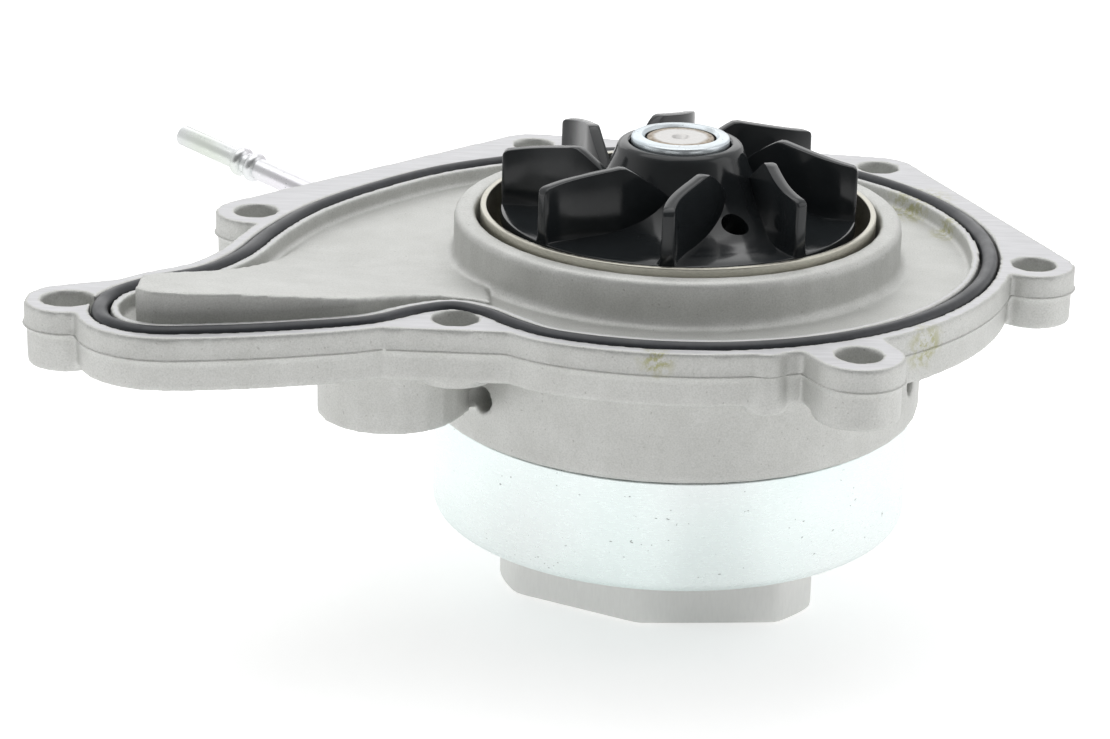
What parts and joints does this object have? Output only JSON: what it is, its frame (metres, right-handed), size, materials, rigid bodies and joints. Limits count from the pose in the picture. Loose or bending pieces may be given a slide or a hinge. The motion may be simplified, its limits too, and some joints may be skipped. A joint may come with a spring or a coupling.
{
  "type": "coolant pump",
  "caption": "Flanged engine coolant pump: bladed impeller in a vacuum-driven shut-off sleeve, cast housing with a face seal, belt pulley and lobed drive hub.",
  "frame": {"origin": "on the pump axis, at the drive hub's outer face, which the pump stands on", "axes": "+Z along the pump axis towards the impeller; +X away from the outlet lobe, along the flange's longest extent; +Y towards the side the vacuum pipe leaves"},
  "size_m": [0.1651, 0.1284, 0.0763],
  "materials": {
    "cast_aluminium": "fine shot-blasted die casting, machined sealing face",
    "seal_rubber": "satin blue-black elastomer",
    "zinc_plate": "bright zinc plate with a faint passivation tint",
    "pulley_zinc": "bright zinc plate, smooth rolled surface",
    "stainless_sleeve": "drawn stainless steel",
    "spring_steel": "plain steel",
    "bearing_steel": "ground steel",
    "sintered_steel": "machined sintered steel with fine vertical streaks",
    "impeller_plastic": "moulded glass-filled plastic, satin gloss",
    "dark_plastic": "moulded plastic, matt",
    "carbon": "pressed carbon",
    "ceramic": "lapped ceramic"
  },
  "bodies": {
    "housing": {"pump_housing": "cast_aluminium", "flange_gasket": "seal_rubber", "vacuum_pipe": "zinc_plate", "core_plug": "zinc_plate", "chamber_cover": "dark_plastic", "cover_retaining_ring": "spring_steel", "sleeve_wiper": "seal_rubber", "return_spring": "spring_steel", "bearing_outer_ring": "bearing_steel", "bearing_seal_rear": "seal_rubber", "bearing_seal_front": "seal_rubber", "seal_cup": "stainless_sleeve", "seal_bellows": "seal_rubber", "carbon_ring": "carbon"},
    "rotor": {"shaft": "bearing_steel", "counter_ring": "ceramic", "impeller": "impeller_plastic", "impeller_bush": "zinc_plate", "drive_pulley": "pulley_zinc", "drive_hub": "sintered_steel", "pulley_screw_1": "spring_steel", "pulley_screw_2": "spring_steel", "pulley_screw_3": "spring_steel"},
    "shutoff_sleeve": {"control_sleeve": "stainless_sleeve", "actuator_piston": "dark_plastic", "piston_outer_seal": "seal_rubber", "piston_inner_seal": "seal_rubber", "pull_rod_1": "spring_steel", "pull_rod_2": "spring_steel", "pull_rod_3": "spring_steel"},
    "ball_row": {"ball_cage": "bearing_steel"},
    "roller_row": {"roller_cage": "bearing_steel"}
  },
  "joints": [
    {"name": "rotor_spin", "type": "hinge", "parent": "housing", "child": "rotor", "pos_m": [0, 0, 0], "axis": [0, 0, 1], "continuous": true},
    {"name": "sleeve_slide", "type": "slide", "parent": "housing", "child": "shutoff_sleeve", "axis": [0, 0, 1], "range_m": [0, 0.009], "stiffness_N_per_m": 600, "springref_m": -0.008, "deforming": ["return_spring"]},
    {"name": "ball_row_spin", "type": "hinge", "parent": "housing", "child": "ball_row", "pos_m": [0, 0, 0.0265], "axis": [0, 0, 1], "continuous": true},
    {"name": "roller_row_spin", "type": "hinge", "parent": "housing", "child": "roller_row", "pos_m": [0, 0, 0.038], "axis": [0, 0, 1], "continuous": true}
  ],
  "couplings": [
    {"joint": "ball_row_spin", "follows": "rotor_spin", "ratio": 0.3614},
    {"joint": "roller_row_spin", "follows": "rotor_spin", "ratio": 0.3614}
  ]
}
